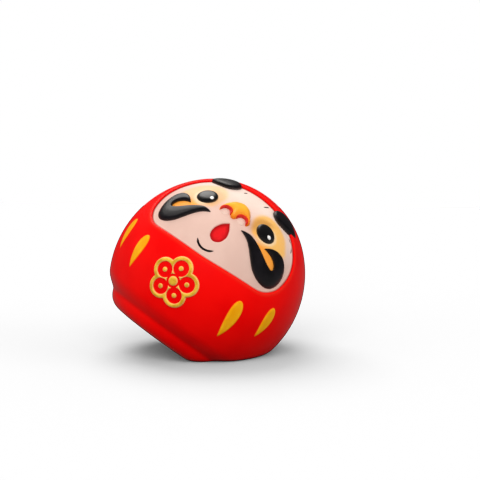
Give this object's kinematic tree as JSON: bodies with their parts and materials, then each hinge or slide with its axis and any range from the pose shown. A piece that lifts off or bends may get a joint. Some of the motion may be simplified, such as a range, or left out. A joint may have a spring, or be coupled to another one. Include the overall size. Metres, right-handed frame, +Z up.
{
  "type": "daruma doll",
  "caption": "Round-bellied glazed ceramic daruma figure, cast leaning on a flat cut across its foot and belly, with a recessed face, raised brows and beard and a gold blossom.",
  "frame": {"origin": "on the flat resting face, straight under the middle of the body", "axes": "+Z up off the resting face, -Y the way the doll faces, +X to the right of someone looking at the face, which is the side the doll leans to"},
  "size_m": [0.0708, 0.0709, 0.0636],
  "materials": {
    "red_glaze": "semi-gloss",
    "ivory_glaze": "satin",
    "black_enamel": "semi-gloss",
    "white_enamel": "gloss",
    "orange_glaze": "satin",
    "mouth_red": "semi-gloss",
    "grey_line": "satin",
    "gold_enamel": "satin, brushed on",
    "stripe_yellow": "semi-gloss"
  },
  "bodies": {
    "root": {"body_shell": "red_glaze", "face_panel": "ivory_glaze", "brow_left": "black_enamel", "brow_right": "black_enamel", "eye_left": "black_enamel", "eye_right": "black_enamel", "eye_glint_left": "white_enamel", "eye_glint_right": "white_enamel", "nose": "orange_glaze", "nostril_left": "ivory_glaze", "nostril_right": "ivory_glaze", "nostril_line_left": "mouth_red", "nostril_line_right": "mouth_red", "mouth": "mouth_red", "chin_curl": "black_enamel", "beard_left": "black_enamel", "beard_right": "black_enamel", "forehead_dashes": "black_enamel", "temple_line": "grey_line", "blossom_petals": "gold_enamel", "blossom_centre": "gold_enamel", "stripe_inner_left": "stripe_yellow", "stripe_inner_right": "stripe_yellow", "stripe_outer_left": "stripe_yellow", "stripe_outer_right": "stripe_yellow"}
  },
  "joints": []
}
